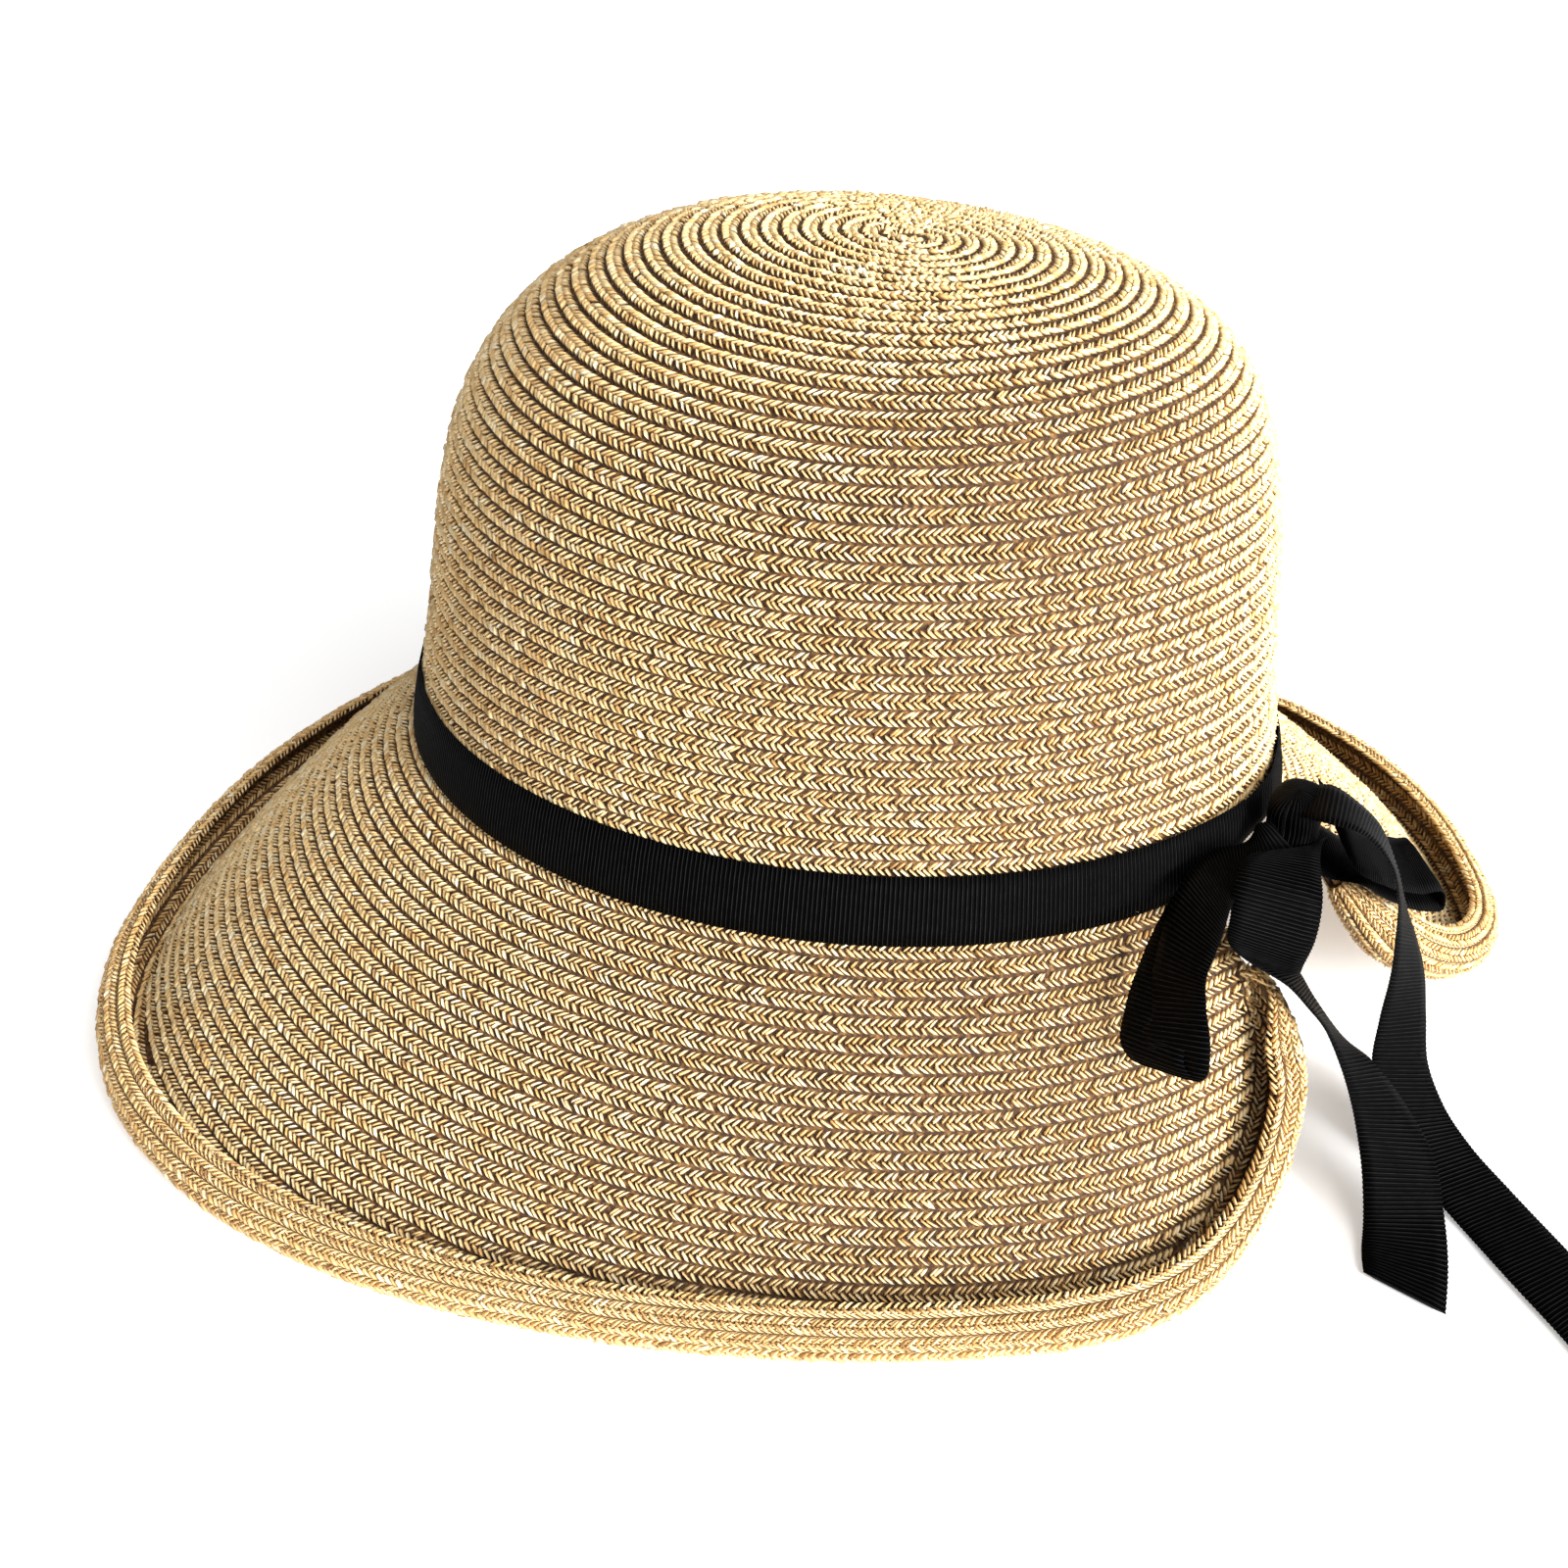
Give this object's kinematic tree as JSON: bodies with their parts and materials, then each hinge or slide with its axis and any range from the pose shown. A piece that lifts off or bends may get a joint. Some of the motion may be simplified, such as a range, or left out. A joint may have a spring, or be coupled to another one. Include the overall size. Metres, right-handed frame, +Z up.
{
  "type": "straw bucket hat",
  "caption": "Plaited straw sun hat with a rounded crown, a down-turned brim with a rolled edge split at the back, and a black ribbon tied in a bow.",
  "frame": {"origin": "middle of the whole hat's box at the surface it stands on, below the head hollow", "axes": "+Z up, +Y the back where the brim is split and the bow is tied, +X the wearer's left"},
  "size_m": [0.3372, 0.408, 0.1942],
  "materials": {
    "straw": "plaited natural straw, dry with a faint gloss",
    "ribbon": "black ribbed ribbon, matte"
  },
  "bodies": {
    "root": {"crown": "straw", "brim": "straw", "ribbon_band": "ribbon", "knot": "ribbon", "loop_left": "ribbon", "loop_right": "ribbon", "tail_front": "ribbon", "tail_back": "ribbon"}
  },
  "joints": []
}
